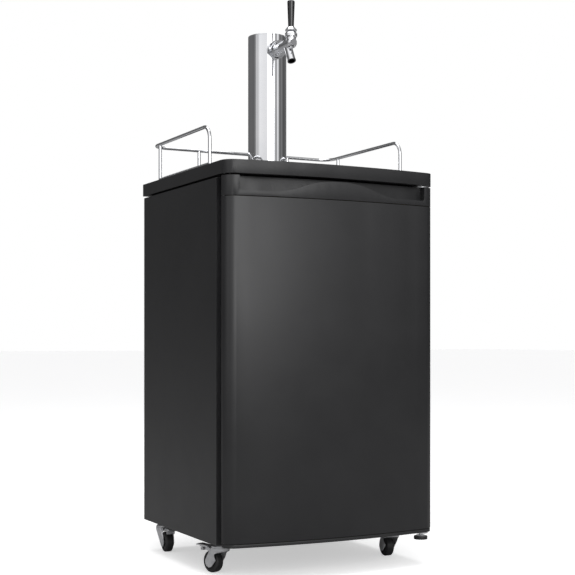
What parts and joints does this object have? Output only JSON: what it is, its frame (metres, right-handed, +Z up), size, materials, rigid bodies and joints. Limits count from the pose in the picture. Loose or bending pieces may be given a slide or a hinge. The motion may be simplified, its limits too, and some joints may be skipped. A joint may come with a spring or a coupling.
{
  "type": "kegerator",
  "caption": "Free-standing draft beer cooler: insulated cabinet with bowed door on swivel casters, guard-railed top, chrome tower with one forward-sealing faucet",
  "frame": {"origin": "on the floor, under the centre of the whole object's box", "axes": "+X towards the door's hinge side, -Y towards the front, +Z up"},
  "size_m": [0.456, 0.4596, 1.1362],
  "materials": {
    "left_side_panel": "satin black powder coat, fine texture",
    "right_side_panel": "satin black powder coat, fine texture",
    "top_panel": "satin black powder coat, fine texture",
    "back_panel": "satin black powder coat, fine texture",
    "base_pan": "satin black powder coat, fine texture",
    "foam_insulation": "foamed in place",
    "inner_liner": "vacuum formed",
    "keg_plate": "galvanised sheet",
    "evaporator": "roll bonded plate",
    "thermostat_housing": "vacuum formed",
    "compressor": "black enamel",
    "compressor_mounts": "moulded rubber",
    "relay_cover": "moulded",
    "condenser": "black enamel",
    "drain_pan": "moulded",
    "cable_gland": "moulded",
    "gas_port_grommet": "moulded rubber",
    "lower_hinge_bracket": "zinc plated",
    "upper_hinge_bracket": "zinc plated",
    "hinge_pins": "polished",
    "worktop": "satin black moulding",
    "guard_rail": "polished",
    "rail_grommets": "moulded",
    "tower_flange": "polished",
    "tower_screws": "polished",
    "tower_column": "polished",
    "tower_cap": "polished",
    "tower_insulation": "closed cell sleeve",
    "shank": "polished",
    "shank_flange": "polished",
    "shank_nut": "turned",
    "coupling_nut": "polished",
    "faucet_body": "polished",
    "faucet_bonnet": "polished",
    "caster_stems": "zinc plated",
    "panel_screws": "zinc plated",
    "door_panel": "satin black powder coat, fine texture",
    "handle_trim": "satin black moulding",
    "bottom_cap": "satin black moulding",
    "door_liner": "vacuum formed",
    "door_gasket": "moulded rubber",
    "door_insulation": "foamed in place",
    "hinge_bushes": "vacuum formed",
    "thermostat_knob": "vacuum formed",
    "leveling_foot": "moulded",
    "faucet_lever": "polished",
    "tap_handle": "moulded",
    "faucet_shaft": "polished",
    "drip_tray": "moulded",
    "drip_grille": "brushed",
    "fork_front_left": "zinc plated",
    "wheel_front_left": "moulded wheel",
    "brake_front_left": "zinc plated",
    "fork_front_right": "zinc plated",
    "wheel_front_right": "moulded wheel",
    "fork_rear_left": "zinc plated",
    "wheel_rear_left": "moulded wheel",
    "brake_rear_left": "zinc plated",
    "fork_rear_right": "zinc plated",
    "wheel_rear_right": "moulded wheel"
  },
  "bodies": {
    "cabinet": {"left_side_panel": "left_side_panel", "right_side_panel": "right_side_panel", "top_panel": "top_panel", "back_panel": "back_panel", "base_pan": "base_pan", "foam_insulation": "foam_insulation", "inner_liner": "inner_liner", "keg_plate": "keg_plate", "evaporator": "evaporator", "thermostat_housing": "thermostat_housing", "compressor": "compressor", "compressor_mounts": "compressor_mounts", "relay_cover": "relay_cover", "condenser": "condenser", "drain_pan": "drain_pan", "cable_gland": "cable_gland", "gas_port_grommet": "gas_port_grommet", "lower_hinge_bracket": "lower_hinge_bracket", "upper_hinge_bracket": "upper_hinge_bracket", "hinge_pins": "hinge_pins", "worktop": "worktop", "guard_rail": "guard_rail", "rail_grommets": "rail_grommets", "tower_flange": "tower_flange", "tower_screws": "tower_screws", "tower_column": "tower_column", "tower_cap": "tower_cap", "tower_insulation": "tower_insulation", "shank": "shank", "shank_flange": "shank_flange", "shank_nut": "shank_nut", "coupling_nut": "coupling_nut", "faucet_body": "faucet_body", "faucet_bonnet": "faucet_bonnet", "caster_stems": "caster_stems", "panel_screws": "panel_screws"},
    "door": {"door_panel": "door_panel", "handle_trim": "handle_trim", "bottom_cap": "bottom_cap", "door_liner": "door_liner", "door_gasket": "door_gasket", "door_insulation": "door_insulation", "hinge_bushes": "hinge_bushes"},
    "knob": {"thermostat_knob": "thermostat_knob"},
    "foot": {"leveling_foot": "leveling_foot"},
    "lever": {"faucet_lever": "faucet_lever", "tap_handle": "tap_handle"},
    "shaft": {"faucet_shaft": "faucet_shaft"},
    "tray": {"drip_tray": "drip_tray"},
    "grille": {"drip_grille": "drip_grille"},
    "fork_front_left": {"fork_front_left": "fork_front_left"},
    "wheel_front_left": {"wheel_front_left": "wheel_front_left"},
    "brake_front_left": {"brake_front_left": "brake_front_left"},
    "fork_front_right": {"fork_front_right": "fork_front_right"},
    "wheel_front_right": {"wheel_front_right": "wheel_front_right"},
    "fork_rear_left": {"fork_rear_left": "fork_rear_left"},
    "wheel_rear_left": {"wheel_rear_left": "wheel_rear_left"},
    "brake_rear_left": {"brake_rear_left": "brake_rear_left"},
    "fork_rear_right": {"fork_rear_right": "fork_rear_right"},
    "wheel_rear_right": {"wheel_rear_right": "wheel_rear_right"}
  },
  "joints": [
    {"name": "door_swing", "type": "hinge", "parent": "cabinet", "child": "door", "pos_m": [0.207, -0.19185, 0.4], "axis": [0, 0, 1], "range_deg": [0, 115]},
    {"name": "thermostat_turn", "type": "hinge", "parent": "cabinet", "child": "knob", "pos_m": [0.172, 0.07965, 0.695], "axis": [0, -1, 0], "range_deg": [0, 270]},
    {"name": "foot_screw", "type": "slide", "parent": "cabinet", "child": "foot", "axis": [0, 0, -1], "range_m": [0, 0.012]},
    {"name": "lever_tilt", "type": "hinge", "parent": "cabinet", "child": "lever", "pos_m": [0, -0.02935, 1.0625], "axis": [1, 0, 0], "range_deg": [0, 20]},
    {"name": "shaft_push", "type": "slide", "parent": "cabinet", "child": "shaft", "axis": [0, 1, 0], "range_m": [0, 0.0044]},
    {"name": "tray_lift", "type": "slide", "parent": "cabinet", "child": "tray", "axis": [0, 0, 1], "range_m": [0, 0.06]},
    {"name": "grille_lift", "type": "slide", "parent": "tray", "child": "grille", "axis": [0, 0, 1], "range_m": [0, 0.06]},
    {"name": "swivel_front_left", "type": "hinge", "parent": "cabinet", "child": "fork_front_left", "pos_m": [-0.191, -0.10535, 0.05], "axis": [0, 0, 1], "continuous": true},
    {"name": "roll_front_left", "type": "hinge", "parent": "fork_front_left", "child": "wheel_front_left", "pos_m": [-0.19718, -0.08633, 0.021], "axis": [0.9511, 0.309, 0], "continuous": true},
    {"name": "pedal_front_left", "type": "hinge", "parent": "fork_front_left", "child": "brake_front_left", "pos_m": [-0.19903, -0.08062, 0.04685], "axis": [-0.9511, -0.309, 0], "range_deg": [0, 24]},
    {"name": "swivel_front_right", "type": "hinge", "parent": "cabinet", "child": "fork_front_right", "pos_m": [0.191, -0.10535, 0.05], "axis": [0, 0, 1], "continuous": true},
    {"name": "roll_front_right", "type": "hinge", "parent": "fork_front_right", "child": "wheel_front_right", "pos_m": [0.19344, -0.0855, 0.021], "axis": [0.9925, -0.1219, 0], "continuous": true},
    {"name": "swivel_rear_left", "type": "hinge", "parent": "cabinet", "child": "fork_rear_left", "pos_m": [-0.191, 0.18565, 0.05], "axis": [0, 0, 1], "continuous": true},
    {"name": "roll_rear_left", "type": "hinge", "parent": "fork_rear_left", "child": "wheel_rear_left", "pos_m": [-0.19274, 0.16573, 0.021], "axis": [-0.9962, 0.0872, 0], "continuous": true},
    {"name": "pedal_rear_left", "type": "hinge", "parent": "fork_rear_left", "child": "brake_rear_left", "pos_m": [-0.19327, 0.15975, 0.04685], "axis": [0.9962, -0.0872, 0], "range_deg": [0, 24]},
    {"name": "swivel_rear_right", "type": "hinge", "parent": "cabinet", "child": "fork_rear_right", "pos_m": [0.191, 0.18565, 0.05], "axis": [0, 0, 1], "continuous": true},
    {"name": "roll_rear_right", "type": "hinge", "parent": "fork_rear_right", "child": "wheel_rear_right", "pos_m": [0.19516, 0.20521, 0.021], "axis": [0.9781, -0.2079, 0], "continuous": true}
  ],
  "couplings": [
    {"joint": "shaft_push", "follows": "lever_tilt", "m_per_rad": 0.0125}
  ]
}
